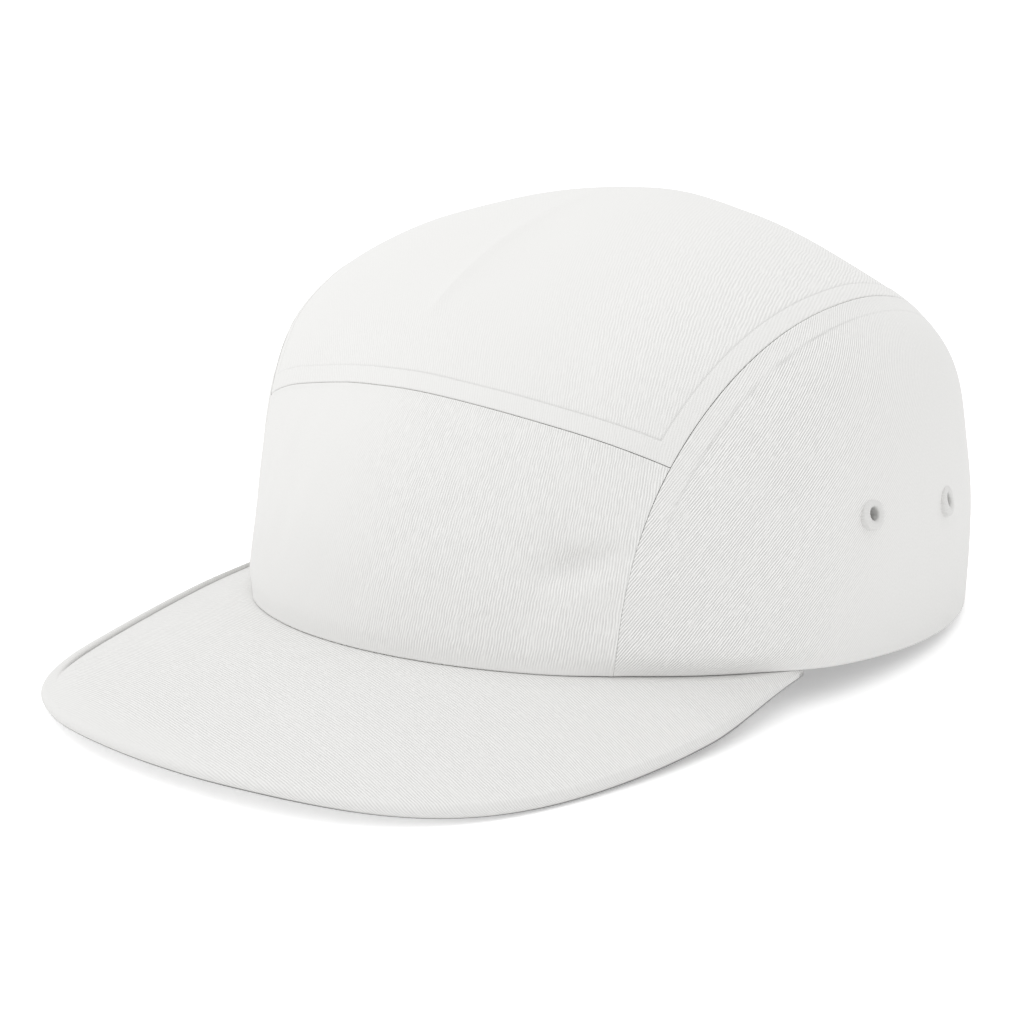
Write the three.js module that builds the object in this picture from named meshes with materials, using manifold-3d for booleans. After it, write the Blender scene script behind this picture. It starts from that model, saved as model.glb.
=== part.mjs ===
// A five panel cap in white cotton twill: a front, a top, a back and two side panels,
// a stiff arched peak and four vent eyelets.
// Millimetres, +Z up, the peak points to -Y and the wearer's left is +X.
// The cap stands on the back of its rim and on the two side edges of its peak.

import * as THREE from 'three';
import { mergeVertices } from 'three/addons/utils/BufferGeometryUtils.js';
import Module from 'manifold-3d';

const wasm = await Module();
wasm.setup();

// Sizes of the crown
const headLength = 199;
const headWidth = 172;
const crownHeight = 103.8;
const apexBehindMiddle = 8.4;
const rimRise = 16;
const rimFlatTurn = THREE.MathUtils.degToRad(28);
const wall = 1.8;
const seamGap = 0.3;

// Sizes of the peak
const peakReach = 54.8;
const peakControlWidth = 183.2;
const peakCornerTurn = THREE.MathUtils.degToRad(69);
const peakThickness = 3.4;
const peakEndThickness = 1.4;
const peakTuck = 5;
const peakEndTuck = 2.7;
const peakTipHeight = 7.3;

// Sizes of the eyelets
const eyeletHole = 3.4;
const eyeletBarrel = 5;
const eyeletFlange = 7.8;
const eyeletFlangeHeight = 1;
const eyeletClearance = 0.3;

// How square the peak's outline is across its width and along its length, and how soon it meets the rim
const peakSquareness = { across: 2.73, along: 2.22, corner: 5.05 };

// How square the crown's upright section is, and how far it swells, by the turn from the front.
// The swell is a share of the section's own reach.
const sections = [
  { turn: 0, square: 2.61, swell: -0.037 },
  { turn: 45, square: 3.9, swell: -0.032 },
  { turn: 90, square: 4.64, swell: 0.032 },
  { turn: 135, square: 2.37, swell: 0.013 },
  { turn: 180, square: 2.47, swell: 0.012 },
];

// Seams on the unrolled crown, where the apex is 0 and the rim lies at 1 all round.
// The arched seam stands topHalf from the centre line at its middle. It spreads towards both ends,
// flares there, and leans more to one end than to the other.
const archedSeam = { topHalf: 0.438, middle: 0.145, spread: 0.603, lean: 0.945, flare: 0.657 };
// A cross seam lies at its reach from the apex on the centre line and bows back at its ends
const crossedSeam = { reach: 0.607, bow: 0.523, curl: 0.087 };

// Eyelets on the unrolled crown, a row for each along a side
const eyelets = [
  { name: 'front', across: 0.768, along: -0.117 },
  { name: 'back', across: 0.771, along: 0.136 },
];

// The soft fold, the swells beside the rear seams and the dents, on the unrolled crown.
// Across, along and both reaches are shares of the unrolled crown, and the rise is one of the wall.
const folds = [
  { across: -0.045, along: -0.25, reachAcross: 0.022, reachAlong: 0.2, rise: 0.5 },
  { across: 0.46, along: -0.7, reachAcross: 0.05, reachAlong: 0.09, rise: -0.7 },
  { across: -0.3, along: -0.75, reachAcross: 0.06, reachAlong: 0.12, rise: -0.4 },
  { across: 0.5, along: 0.24, reachAcross: 0.11, reachAlong: 0.17, rise: 2.05 },
  { across: -0.5, along: 0.24, reachAcross: 0.11, reachAlong: 0.17, rise: 2.05 },
  { across: 0.35, along: -0.55, reachAcross: 0.28, reachAlong: 0.22, rise: -1.85 },
  { across: -0.35, along: -0.55, reachAcross: 0.28, reachAlong: 0.22, rise: -1.85 },
  { across: 0, along: -0.02, reachAcross: 0.25, reachAlong: 0.18, rise: 1.2 },
  { across: 0, along: 0.3, reachAcross: 0.3, reachAlong: 0.15, rise: 0.28 },
];

// Grid of each panel and of the peak
const cellsAcross = 20;
const cellsLeg = 12;
const cellsAlong = 24;
const peakRows = 40;
const peakColumns = 7;
const peakRoundSteps = 4;
const meridianSteps = 96;
const eyeletSides = 12;

const white = { panel: '#efefee', peak: '#ececeb', eyelet: '#f4f4f3' };

const signedPower = (value, power) => Math.sign(value) * Math.abs(value) ** power;
const mix = (from, to, share) => from + (to - from) * share;

// Height of the rim, flat behind and rising to the front
function rimHeight(turn) {
  const flat = (1 - Math.cos(rimFlatTurn)) / 2;
  const forward = (1 + Math.cos(turn)) / 2;
  return rimRise * Math.max(0, (forward - flat) / (1 - flat)) ** 1.5;
}

// The rim's outer line, by the turn from the front towards the left
function rim(turn) {
  const x = (headWidth / 2) * Math.sin(turn);
  const y = -(headLength / 2) * Math.cos(turn);
  return new THREE.Vector3(x, y, rimHeight(turn));
}

// A smooth even function of the turn that passes through the rows of the section table
function around(key, turn) {
  const last = sections.length - 1;
  const half = (index) => (index === 0 || index === last ? 0.5 : 1);
  let value = 0;
  for (let wave = 0; wave <= last; wave += 1) {
    let share = 0;
    sections.forEach((row, index) => {
      share += half(index) * row[key] * Math.cos(wave * THREE.MathUtils.degToRad(row.turn));
    });
    value += half(wave) * (2 / last) * share * Math.cos(wave * turn);
  }
  return value;
}

// A point of one upright section, lift 0 at the rim and 1 at the apex
function sectionPoint(turn, lift) {
  const angle = (Math.PI / 2) * lift ** 3;
  const foot = rim(turn);
  const up = Math.sin(angle) ** (2 / around('square', turn));
  const out = Math.cos(angle) * (1 + around('swell', turn) * Math.sin(Math.PI * up));
  const y = mix(apexBehindMiddle, foot.y, out);
  return new THREE.Vector3(foot.x * out, y, mix(foot.z, crownHeight, up));
}

// The lift at which a section has run a share of its length from the rim
function liftAt(turn, share) {
  const lengths = [0];
  let before = sectionPoint(turn, 0);
  for (let step = 1; step <= meridianSteps; step += 1) {
    const here = sectionPoint(turn, step / meridianSteps);
    lengths.push(lengths[step - 1] + here.distanceTo(before));
    before = here;
  }
  const wanted = share * lengths[meridianSteps];
  const step = Math.max(1, lengths.findIndex((length) => length >= wanted));
  const inside = (wanted - lengths[step - 1]) / (lengths[step] - lengths[step - 1]);
  return (step - 1 + inside) / meridianSteps;
}

// The crown's smooth outer surface at a place on the unrolled crown
function smoothCrown(place) {
  const reach = Math.min(1, place.length());
  const turn = Math.atan2(place.x, -place.y);
  return sectionPoint(turn, liftAt(turn, 1 - reach));
}

// The crown's outward direction at a place on the unrolled crown
function crownNormal(place) {
  const step = 0.004;
  const inward = place.length() > 1 - step ? 1 - 2 * step : 1;
  const middle = place.clone().multiplyScalar(inward);
  const at = (dx, dy) => smoothCrown(new THREE.Vector2(middle.x + dx, middle.y + dy));
  const across = at(step, 0).sub(at(-step, 0));
  const along = at(0, step).sub(at(0, -step));
  return across.cross(along).normalize();
}

// How far the cloth stands above the smooth crown
function foldRise(place) {
  let rise = 0;
  for (const fold of folds) {
    const across = (place.x - fold.across) / fold.reachAcross;
    const along = (place.y - fold.along) / fold.reachAlong;
    rise += fold.rise * wall * Math.exp(-(across ** 2) - along ** 2);
  }
  return rise;
}

// The arched seam on one side, at a place along the crown
function arch(side, along) {
  const { topHalf, middle, spread, lean, flare } = archedSeam;
  const off = along - middle;
  const across = topHalf + spread * off ** 2 + lean * off ** 3 + flare * off ** 4;
  return new THREE.Vector2(side * across, along);
}

// The cross seam in front (-1) or behind (+1)
function crossSeam(end, across) {
  const { reach, bow, curl } = crossedSeam;
  return new THREE.Vector2(across, end * (reach - bow * across ** 2 - curl * across ** 4));
}

// Finds where a function of one number changes sign between two values
function root(measure, low, high) {
  let [from, to] = [low, high];
  for (let step = 0; step < 50; step += 1) {
    const middle = (from + to) / 2;
    if (measure(from) * measure(middle) <= 0) to = middle;
    else from = middle;
  }
  return (from + to) / 2;
}

// Where the arched seam meets the rim and the cross seam, along the crown, in front and behind
function archEnds(end) {
  const foot = root((along) => arch(1, along).length() - 1, end * 0.5, end);
  const joint = root((along) => along - crossSeam(end, arch(1, along).x).y, end * 0.2, end * 0.6);
  return { foot, joint };
}

const ends = { front: archEnds(-1), back: archEnds(1) };

const turnOf = (place) => Math.atan2(place.x, -place.y);
const onRim = (turn) => new THREE.Vector2(Math.sin(turn), -Math.cos(turn));

// A four-sided panel's places: each side is a function of a share from 0 to 1.
// Bottom and top run the same way, and left and right run from bottom to top.
function patch(sides, columns, rows) {
  const corner = (side, share) => sides[side](share);
  const grid = [];
  for (let i = 0; i <= columns; i += 1) {
    const u = i / columns;
    const line = [];
    for (let j = 0; j <= rows; j += 1) {
      const v = j / rows;
      const place = new THREE.Vector2();
      place.addScaledVector(sides.bottom(u), 1 - v).addScaledVector(sides.top(u), v);
      place.addScaledVector(sides.left(v), 1 - u).addScaledVector(sides.right(v), u);
      place.addScaledVector(corner('bottom', 0), -(1 - u) * (1 - v));
      place.addScaledVector(corner('bottom', 1), -u * (1 - v));
      place.addScaledVector(corner('top', 0), -(1 - u) * v);
      place.addScaledVector(corner('top', 1), -u * v);
      line.push(place);
    }
    grid.push(line);
  }
  return grid;
}

// Moves the points of a panel's sewn edges inwards by half the seam gap
function pullFromSeams(points, normals, sewn) {
  const columns = points.length - 1;
  const rows = points[0].length - 1;
  const moves = points.map((line) => line.map(() => []));
  const clampRow = (j) => Math.min(rows, Math.max(0, j));
  const clampColumn = (i) => Math.min(columns, Math.max(0, i));
  const pull = (i, j, run, towards) => {
    const move = normals[i][j].clone().cross(run).normalize();
    if (move.dot(towards) < 0) move.negate();
    moves[i][j].push(move.multiplyScalar(seamGap / 2));
  };
  const heart = points[Math.round(columns / 2)][Math.round(rows / 2)];
  const side = (fixed, alongColumns) => {
    const count = alongColumns ? columns : rows;
    for (let k = 0; k <= count; k += 1) {
      const [i, j] = alongColumns ? [k, fixed] : [fixed, k];
      const next = alongColumns ? points[clampColumn(i + 1)][j] : points[i][clampRow(j + 1)];
      const last = alongColumns ? points[clampColumn(i - 1)][j] : points[i][clampRow(j - 1)];
      pull(i, j, next.clone().sub(last), heart.clone().sub(points[i][j]));
    }
  };
  if (sewn.bottom) side(0, true);
  if (sewn.top) side(rows, true);
  side(0, false);
  side(columns, false);
  for (let i = 0; i <= columns; i += 1) {
    for (let j = 0; j <= rows; j += 1) {
      const [first, second] = moves[i][j];
      if (first) points[i][j].add(first);
      if (second && first.angleTo(second) > Math.PI / 6) points[i][j].add(second);
    }
  }
}

// A closed solid between an outer and an inner grid of points
function sheetGeometry(outer, inner) {
  const columns = outer.length - 1;
  const rows = outer[0].length - 1;
  const positions = [];
  for (const skin of [outer, inner]) {
    for (const line of skin) for (const point of line) positions.push(point.x, point.y, point.z);
  }
  const inside = (columns + 1) * (rows + 1);
  const at = (i, j) => i * (rows + 1) + j;
  const index = [];
  const quad = (a, b, c, d) => index.push(a, b, c, a, c, d);
  for (let i = 0; i < columns; i += 1) {
    for (let j = 0; j < rows; j += 1) {
      quad(at(i, j), at(i + 1, j), at(i + 1, j + 1), at(i, j + 1));
      quad(inside + at(i, j + 1), inside + at(i + 1, j + 1), inside + at(i + 1, j), inside + at(i, j));
    }
  }
  for (let i = 0; i < columns; i += 1) {
    quad(at(i, 0), inside + at(i, 0), inside + at(i + 1, 0), at(i + 1, 0));
    quad(at(i + 1, rows), inside + at(i + 1, rows), inside + at(i, rows), at(i, rows));
  }
  for (let j = 0; j < rows; j += 1) {
    quad(at(0, j + 1), inside + at(0, j + 1), inside + at(0, j), at(0, j));
    quad(at(columns, j), inside + at(columns, j), inside + at(columns, j + 1), at(columns, j + 1));
  }
  return closedGeometry(positions, index);
}

// A geometry from positions and triangles, with its faces pointing out
function closedGeometry(positions, index) {
  let volume = 0;
  const [a, b, c] = [new THREE.Vector3(), new THREE.Vector3(), new THREE.Vector3()];
  for (let k = 0; k < index.length; k += 3) {
    a.fromArray(positions, 3 * index[k]);
    b.fromArray(positions, 3 * index[k + 1]);
    c.fromArray(positions, 3 * index[k + 2]);
    volume += a.dot(b.cross(c));
  }
  const facing = volume < 0 ? index.slice().reverse() : index;
  const geometry = new THREE.BufferGeometry();
  geometry.setAttribute('position', new THREE.Float32BufferAttribute(positions, 3));
  geometry.setIndex(facing);
  geometry.computeVertexNormals();
  return geometry;
}

// A cloth panel on the crown, whose bottom edge is the rim unless its sides say that it is sewn
function panelGeometry(sides, columns, rows, sewn) {
  const places = patch(sides, columns, rows);
  const normals = places.map((line) => line.map(crownNormal));
  const outer = places.map((line) => line.map(smoothCrown));
  pullFromSeams(outer, normals, sewn);
  const inner = outer.map((line, i) => line.map((point, j) => {
    const inward = normals[i][j].clone();
    if (j === 0 && !sewn.bottom) inward.setZ(0).normalize();
    return point.clone().addScaledVector(inward, -wall);
  }));
  outer.forEach((line, i) => line.forEach((point, j) => {
    if (j === 0 && !sewn.bottom) {
      const height = rimHeight(turnOf(places[i][j]));
      point.setZ(height);
      inner[i][j].setZ(height);
    }
    const rise = foldRise(places[i][j]);
    point.addScaledVector(normals[i][j], rise);
    inner[i][j].addScaledVector(normals[i][j], rise);
  }));
  return sheetGeometry(outer, inner);
}

// The front panel (-1) or the back panel (+1), from the rim to its cross seam
function endPanelGeometry(end) {
  const { foot, joint } = end < 0 ? ends.front : ends.back;
  const reach = turnOf(arch(1, foot));
  const from = end < 0 ? -reach : 2 * Math.PI - reach;
  const to = reach;
  const jointAcross = arch(1, joint).x;
  const sides = {
    bottom: (u) => onRim(mix(from, to, u)),
    top: (u) => crossSeam(end, mix(-jointAcross, jointAcross, u)),
    left: (v) => arch(-1, mix(foot, joint, v)),
    right: (v) => arch(1, mix(foot, joint, v)),
  };
  return panelGeometry(sides, cellsAcross, cellsLeg, { bottom: false, top: true });
}

// The long top panel between the two cross seams
function topPanelGeometry() {
  const frontAcross = arch(1, ends.front.joint).x;
  const backAcross = arch(1, ends.back.joint).x;
  const sides = {
    bottom: (u) => crossSeam(-1, mix(-frontAcross, frontAcross, u)),
    top: (u) => crossSeam(1, mix(-backAcross, backAcross, u)),
    left: (v) => arch(-1, mix(ends.front.joint, ends.back.joint, v)),
    right: (v) => arch(1, mix(ends.front.joint, ends.back.joint, v)),
  };
  return panelGeometry(sides, cellsAcross, cellsAlong, { bottom: true, top: true });
}

// A side panel: +1 is the left one
function sidePanelGeometry(side) {
  const from = turnOf(arch(1, ends.front.foot));
  const to = turnOf(arch(1, ends.back.foot));
  const sides = {
    bottom: (u) => onRim(side * mix(from, to, u)),
    top: (u) => arch(side, mix(ends.front.joint, ends.back.joint, u)),
    left: (v) => arch(side, mix(ends.front.foot, ends.front.joint, v)),
    right: (v) => arch(side, mix(ends.back.foot, ends.back.joint, v)),
  };
  return panelGeometry(sides, cellsAlong, cellsLeg, { bottom: false, top: true });
}

// A solid for joining and cutting, from a closed geometry
function solidOf(geometry) {
  const bare = geometry.clone();
  bare.deleteAttribute('normal');
  bare.deleteAttribute('uv');
  const merged = mergeVertices(bare, 1e-4);
  const vertProperties = new Float32Array(merged.attributes.position.array);
  const triVerts = new Uint32Array(merged.index.array);
  return new wasm.Manifold(new wasm.Mesh({ numProp: 3, vertProperties, triVerts }));
}

function geometryOf(solid) {
  const mesh = solid.getMesh();
  const geometry = new THREE.BufferGeometry();
  geometry.setAttribute('position', new THREE.Float32BufferAttribute(mesh.vertProperties, 3));
  geometry.setIndex(Array.from(mesh.triVerts));
  geometry.computeVertexNormals();
  return geometry;
}

// Where an eyelet sits on one side, and the turn that lays its axis along the cloth's normal
function eyeletSeat(side, row) {
  const place = new THREE.Vector2(side * row.across, row.along);
  const normal = crownNormal(place);
  const position = smoothCrown(place);
  const turn = new THREE.Quaternion().setFromUnitVectors(new THREE.Vector3(0, 1, 0), normal);
  return { position, turn };
}

// A side panel with its two eyelet holes cut through
function piercedSideGeometry(side) {
  let solid = solidOf(sidePanelGeometry(side));
  const radius = eyeletBarrel / 2 + eyeletClearance;
  for (const row of eyelets) {
    const seat = eyeletSeat(side, row);
    const drill = new THREE.CylinderGeometry(radius, radius, 6 * wall, eyeletSides);
    drill.applyQuaternion(seat.turn);
    drill.translate(seat.position.x, seat.position.y, seat.position.z);
    solid = solid.subtract(solidOf(drill));
  }
  return geometryOf(solid);
}

// An eyelet's closed section, turned round its axis, which starts at the cloth's outer face
function eyeletGeometry() {
  const hole = eyeletHole / 2;
  const barrel = eyeletBarrel / 2;
  const flange = eyeletFlange / 2;
  const outside = eyeletClearance;
  const inside = -wall - eyeletClearance;
  const bevel = eyeletFlangeHeight / 3;
  const profile = [
    [hole, inside - eyeletFlangeHeight],
    [flange - bevel, inside - eyeletFlangeHeight],
    [flange, inside],
    [barrel, inside],
    [barrel, outside],
    [flange, outside],
    [flange, outside + eyeletFlangeHeight - bevel],
    [flange - bevel, outside + eyeletFlangeHeight],
    [hole + bevel, outside + eyeletFlangeHeight],
    [hole, outside + eyeletFlangeHeight - bevel],
    [hole, inside - eyeletFlangeHeight],
  ];
  const points = profile.map(([radius, height]) => new THREE.Vector2(radius, height));
  return new THREE.LatheGeometry(points, eyeletSides);
}

const halfPeak = peakThickness / 2;
const peakEndStart = 0.86;
const peakEndShare = 0.995;
const peakTip = headLength / 2 + peakReach;
const peakCorner = rim(peakCornerTurn);

// The centre line of the peak's rolled edge seen from above, from -1 to 1 across
function peakOutline(share) {
  const turn = (Math.PI / 2) * signedPower(share, 1.3);
  const half = peakControlWidth / 2;
  const narrow = (1 - peakCorner.x / half) * Math.abs(Math.sin(turn)) ** peakSquareness.corner;
  const x = half * signedPower(Math.sin(turn), 2 / peakSquareness.across) * (1 - narrow);
  const forward = Math.abs(Math.cos(turn)) ** (2 / peakSquareness.along);
  return new THREE.Vector2(x, peakCorner.y - (peakTip + peakCorner.y) * forward);
}

// The height of the rolled edge's centre line for a slope: it falls to the tip and arches across
function peakEdgeHeight(outline, slope) {
  const cornerHeight = peakCorner.z - halfPeak - seamGap;
  const arched = peakTipHeight + slope * (peakTip + peakCorner.y) - cornerHeight;
  const across = (outline.x / peakCorner.x) ** 2;
  return peakTipHeight + slope * (peakTip + outline.y) - arched * across;
}

// The slope at which the peak's two side edges rest on the table
function restingSlope() {
  const lowest = (slope) => {
    let height = Infinity;
    for (let row = 0; row <= peakRows; row += 1) {
      const outline = peakOutline((2 * row) / peakRows - 1);
      height = Math.min(height, peakEdgeHeight(outline, slope));
    }
    return height - halfPeak;
  };
  return root(lowest, 0, 1);
}

// The peak: rows from side to side, each a closed section that starts under the rim,
// runs out to the rolled edge, round it and back underneath
function peakGeometry() {
  const slope = restingSlope();
  const loops = [];
  for (let row = 0; row <= peakRows; row += 1) {
    const share = mix(-peakEndShare, peakEndShare, row / peakRows);
    const end = THREE.MathUtils.smoothstep(Math.abs(share), peakEndStart, 1);
    const half = mix(halfPeak, peakEndThickness / 2, end);
    const turn = peakCornerTurn * share;
    const foot = rim(turn);
    const outward = new THREE.Vector2(foot.x / headWidth ** 2, foot.y / headLength ** 2).normalize();
    const tuck = peakEndTuck * end;
    const seam = new THREE.Vector2(foot.x, foot.y).addScaledVector(outward, -tuck);
    const inner = new THREE.Vector2(foot.x, foot.y).addScaledVector(outward, -peakTuck);
    const outline = peakOutline(share);
    const edgeHeight = peakEdgeHeight(outline, slope) + halfPeak - half;
    const edge = outline.addScaledVector(outward, -tuck);
    const seamHeight = foot.z - half - seamGap;
    const middle = [new THREE.Vector3(inner.x, inner.y, seamHeight)];
    for (let column = 0; column <= peakColumns; column += 1) {
      const run = column / peakColumns;
      const flat = seam.clone().lerp(edge, run);
      middle.push(new THREE.Vector3(flat.x, flat.y, mix(seamHeight, edgeHeight, run)));
    }
    loops.push(peakSection(middle, half));
  }
  return ringsGeometry(loops);
}

// One closed section of the peak round its middle line, for half its thickness there
function peakSection(middle, half) {
  const edge = middle[middle.length - 1];
  const before = middle[1];
  const out = new THREE.Vector3(edge.x - before.x, edge.y - before.y, 0).normalize();
  const loop = middle.map((point) => point.clone().setZ(point.z + half));
  for (let step = 1; step < peakRoundSteps; step += 1) {
    const angle = Math.PI / 2 - (Math.PI * step) / peakRoundSteps;
    const point = edge.clone().addScaledVector(out, half * Math.cos(angle));
    loop.push(point.setZ(edge.z + half * Math.sin(angle)));
  }
  const under = middle.map((point) => point.clone().setZ(point.z - half)).reverse();
  return loop.concat(under);
}

// A closed solid through a row of closed sections, with flat ends
function ringsGeometry(loops) {
  const count = loops[0].length;
  const positions = [];
  for (const loop of loops) for (const point of loop) positions.push(point.x, point.y, point.z);
  const index = [];
  const at = (row, k) => row * count + (k % count);
  for (let row = 0; row < loops.length - 1; row += 1) {
    for (let k = 0; k < count; k += 1) {
      index.push(at(row, k), at(row + 1, k), at(row + 1, k + 1));
      index.push(at(row, k), at(row + 1, k + 1), at(row, k + 1));
    }
  }
  const last = loops.length - 1;
  for (let k = 0; k < Math.floor(count / 2) - 1; k += 1) {
    const [low, high] = [k, count - 1 - k];
    index.push(at(0, low), at(0, low + 1), at(0, high), at(0, low + 1), at(0, high - 1), at(0, high));
    index.push(at(last, low), at(last, high), at(last, low + 1));
    index.push(at(last, low + 1), at(last, high), at(last, high - 1));
  }
  if (count % 2 === 1) {
    const middle = Math.floor(count / 2);
    index.push(at(0, middle - 1), at(0, middle), at(0, middle + 1));
    index.push(at(last, middle - 1), at(last, middle + 1), at(last, middle));
  }
  return closedGeometry(positions, index);
}

// The group stands with the middle of the cap's length over the origin
const cap = new THREE.Group();
cap.position.y = (peakTip + halfPeak - headLength / 2) / 2;

function addPiece(name, geometry, colour, roughness) {
  const material = new THREE.MeshStandardMaterial({ color: colour, roughness, metalness: 0 });
  const mesh = new THREE.Mesh(geometry, material);
  mesh.name = name;
  cap.add(mesh);
  return mesh;
}

addPiece('front_panel', endPanelGeometry(-1), white.panel, 0.9);
addPiece('top_panel', topPanelGeometry(), white.panel, 0.9);
addPiece('back_panel', endPanelGeometry(1), white.panel, 0.9);
addPiece('side_panel_left', piercedSideGeometry(1), white.panel, 0.9);
addPiece('side_panel_right', piercedSideGeometry(-1), white.panel, 0.9);
addPiece('peak', peakGeometry(), white.peak, 0.9);

for (const [sideName, side] of [['left', 1], ['right', -1]]) {
  for (const row of eyelets) {
    const seat = eyeletSeat(side, row);
    const eyelet = addPiece(`eyelet_${sideName}_${row.name}`, eyeletGeometry(), white.eyelet, 0.7);
    eyelet.position.copy(seat.position);
    eyelet.quaternion.copy(seat.turn);
  }
}

export default cap;
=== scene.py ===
import math

import bpy
import numpy as np
from bpy.props import FloatProperty, FloatVectorProperty, IntProperty, PointerProperty
from mathutils import Matrix, Vector, kdtree


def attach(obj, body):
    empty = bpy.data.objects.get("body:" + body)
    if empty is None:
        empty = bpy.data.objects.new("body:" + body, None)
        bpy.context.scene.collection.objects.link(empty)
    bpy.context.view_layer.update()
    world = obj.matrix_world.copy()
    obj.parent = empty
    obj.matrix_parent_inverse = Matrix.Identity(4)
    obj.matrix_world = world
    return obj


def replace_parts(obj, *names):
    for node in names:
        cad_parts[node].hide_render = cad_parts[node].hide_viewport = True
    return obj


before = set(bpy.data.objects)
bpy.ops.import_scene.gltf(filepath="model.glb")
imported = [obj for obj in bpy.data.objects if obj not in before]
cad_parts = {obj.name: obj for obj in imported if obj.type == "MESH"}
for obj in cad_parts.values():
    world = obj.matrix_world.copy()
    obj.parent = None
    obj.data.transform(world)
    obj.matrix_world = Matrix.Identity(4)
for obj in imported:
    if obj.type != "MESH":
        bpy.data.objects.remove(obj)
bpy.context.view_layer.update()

bl_info = {
    "name": "Five Panel Cap",
    "version": (1, 0, 0),
    "blender": (4, 5, 0),
    "location": "3D View > Sidebar > Cap",
    "description": "Builds a white twill five panel cap round its packed frame",
    "category": "Add Mesh",
}

MM = 0.001
TINY = 1e-9
HALVINGS = 50
BODY = "root"

# The crown's upright sections by the turn from the front: how square, and how far it swells outwards
SECTIONS = (
    {"turn": 0, "square": 2.61, "swell": -0.037},
    {"turn": 45, "square": 3.90, "swell": -0.032},
    {"turn": 90, "square": 4.64, "swell": 0.032},
    {"turn": 135, "square": 2.37, "swell": 0.013},
    {"turn": 180, "square": 2.47, "swell": 0.012},
)

# Seams on the unrolled crown, where the apex is 0 and the rim lies at 1 all round
ARCHED_SEAM = {"top_half": 0.4425, "middle": 0.145, "spread": 0.603, "lean": 0.945, "flare": 0.657}
CROSSED_SEAM = {"reach": 0.607, "bow": 0.523, "curl": 0.087}

# Between which places along the crown the arched seam meets the rim and the cross seam
FOOT_LIMITS = (0.5, 1.0)
JOINT_LIMITS = (0.2, 0.6)

# Soft folds and swells on the unrolled crown. Reaches are shares of it, and the rise is one of the wall.
FOLDS = (
    {"across": 0.46, "along": -0.70, "reach_across": 0.05, "reach_along": 0.09, "rise": -0.7},
    {"across": -0.30, "along": -0.75, "reach_across": 0.06, "reach_along": 0.12, "rise": -0.4},
    {"across": 0.50, "along": 0.24, "reach_across": 0.11, "reach_along": 0.17, "rise": 2.05},
    {"across": -0.50, "along": 0.24, "reach_across": 0.11, "reach_along": 0.17, "rise": 2.05},
    {"across": 0.35, "along": -0.55, "reach_across": 0.28, "reach_along": 0.22, "rise": -1.85},
    {"across": -0.35, "along": -0.55, "reach_across": 0.28, "reach_along": 0.22, "rise": -1.85},
    {"across": 0.0, "along": -0.02, "reach_across": 0.25, "reach_along": 0.18, "rise": 1.2},
    {"across": 0.0, "along": 0.30, "reach_across": 0.30, "reach_along": 0.15, "rise": 0.28},
)

# Slanted wrinkles on the unrolled crown: middle, slant in degrees, half length, half width, rise of the wall
WRINKLES = (
    {"across": 0.502, "along": -0.673, "slant": 47, "length": 0.07, "width": 0.021, "rise": -1.7},
    {"across": 0.80, "along": -0.52, "slant": 55, "length": 0.16, "width": 0.03, "rise": 0.30},
)

EYELETS = (
    {"name": "front", "across": 0.768, "along": -0.117},
    {"name": "back", "across": 0.771, "along": 0.136},
)

# An eyelet's grid: points over half of its section, rows a stitch and the power that fills the section out
EYELET_GRID = {"steps": 16, "per_stitch": 6, "bulge_power": 0.8}

# The cylinders that cut the eyelet holes
CUTTER_SIDES = 48
CUTTER_LENGTH = 0.02

# Long gentle waves in the cloth: waves per unrolled crown, direction in degrees, phase, height in millimetres
WAVES = (
    {"count": 5.1, "turn": 20, "phase": 0.3, "height": 0.07},
    {"count": 7.3, "turn": 75, "phase": 1.9, "height": 0.05},
    {"count": 9.7, "turn": 130, "phase": 4.1, "height": 0.035},
)

# Cells across and up each kind of panel between its edge rows
CELLS = {"end": (90, 50), "side": (120, 60), "top": (100, 120)}

# Points at which lengths along a grid line are measured
FINE_SHARES = 241

# Distances from a sewn edge at which the grid has a row, in millimetres
EDGE_ROWS = (0, 0.1, 0.22, 0.36, 0.55, 0.9, 1.4, 2.3, 3.3, 4.1, 4.5, 4.7, 4.85, 5.0, 5.15, 5.4, 6.0)

# The twill on each group of panels: pitch in millimetres, slant in degrees on the cloth map, how far the ribs
# wander, share of broken strokes, colour contrast, share of the full rib depth and colour kept where shade is
# painted
WEAVE_COLUMNS = ("pitch", "slant", "wander", "strokes", "contrast", "depth", "step")
WEAVES = {
    "end": (0.66, 80, 1.2, 0.2, 0.13, 0.25, 0.9),
    "top": (0.72, 121, 1.2, 0.2, 0.09, 0.25, 0.9),
    "left": (0.56, 49, 0.6, 0.1, 0.23, 0.3, 0.9),
    "right": (0.56, 131, 0.6, 0.1, 0.23, 0.3, 0.9),
    "peak": (0.62, 165, 0.7, 0.1, 0.135, 0.25, 0.2),
}

# The twill's noises: scale and detail of each
TWILL_NOISE = {"wander": (260, 2), "stroke": (1, 0), "gap": (0.6, 1), "patch": (150, 2), "grain": (1700, 1)}

# The twill's forms: heights, strokes a rib along and across, and factor and offset of the gaps and patches
TWILL_FORM = {
    "rib_height": 1.7,
    "stroke_height": 7.0,
    "grain_height": 0.15,
    "strokes_along": 0.32,
    "strokes_across": 1.7,
    "gaps": (3.0, 0.85),
    "patches": (6.0, 0.9),
    "patch_share": 0.25,
}

TWILL_SHADER = {"Roughness": 0.85, "Specular IOR Level": 0.25, "Sheen Weight": 0.12, "Sheen Roughness": 0.5}
THREAD_SHADER = {"Roughness": 0.55, "Sheen Weight": 0.15}
THREAD_SCALE = 2500
THREAD_DARK = 0.94
BRIGHTEST = 0.96

FLOOR_SHADER = {"Roughness": 0.9, "Specular IOR Level": 0.0, "Emission Color": (1, 1, 1, 1)}
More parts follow.
